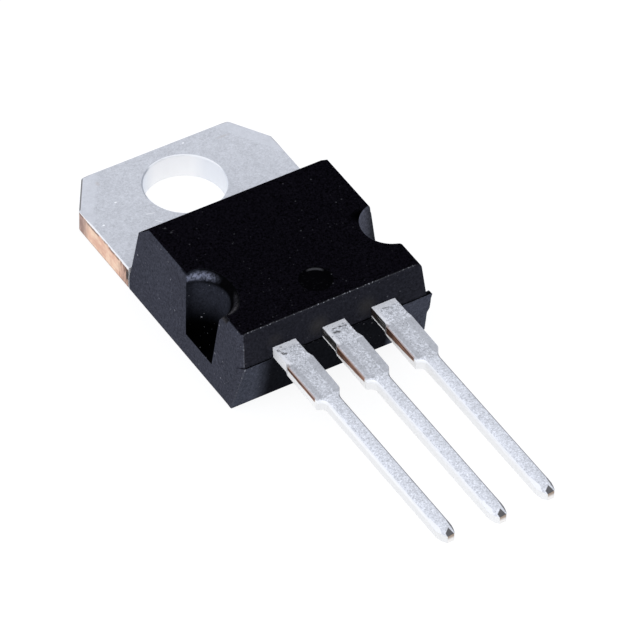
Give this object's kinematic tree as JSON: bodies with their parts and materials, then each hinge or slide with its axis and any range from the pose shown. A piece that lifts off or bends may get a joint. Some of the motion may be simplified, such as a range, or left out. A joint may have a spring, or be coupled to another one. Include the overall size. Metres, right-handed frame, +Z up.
{
  "type": "voltage regulator",
  "caption": "Linear voltage regulator in a flat-tab power package: black moulded body, tin-plated heat-sink tab with a mounting hole, and straight leads for a through-hole board.",
  "frame": {"origin": "centre of the mounting hole on the tab's flat back face", "axes": "+Z up from the back face through the body to its upper face, +Y from the body towards the tab's free end (the leads point along -Y), +X across the row of leads from the input lead to the output lead"},
  "size_m": [0.0102, 0.0292, 0.0044],
  "materials": {
    "mould_resin": "matte black epoxy with a fine moulded grain",
    "tinned_tab": "satin tin plate over copper, bare copper on the sheared sides",
    "tinned_lead": "satin tin plate over copper, bare copper where the dam bar was cut",
    "silicon": "smooth dark grey",
    "solder": "dull grey solder",
    "bond_wire": "drawn wire"
  },
  "bodies": {
    "root": {"mould_body": "mould_resin", "heatsink_frame": "tinned_tab", "input_lead": "tinned_lead", "output_lead": "tinned_lead", "silicon_die": "silicon", "die_solder": "solder", "input_wire": "bond_wire", "output_wire": "bond_wire", "ground_wire": "bond_wire"}
  },
  "joints": []
}
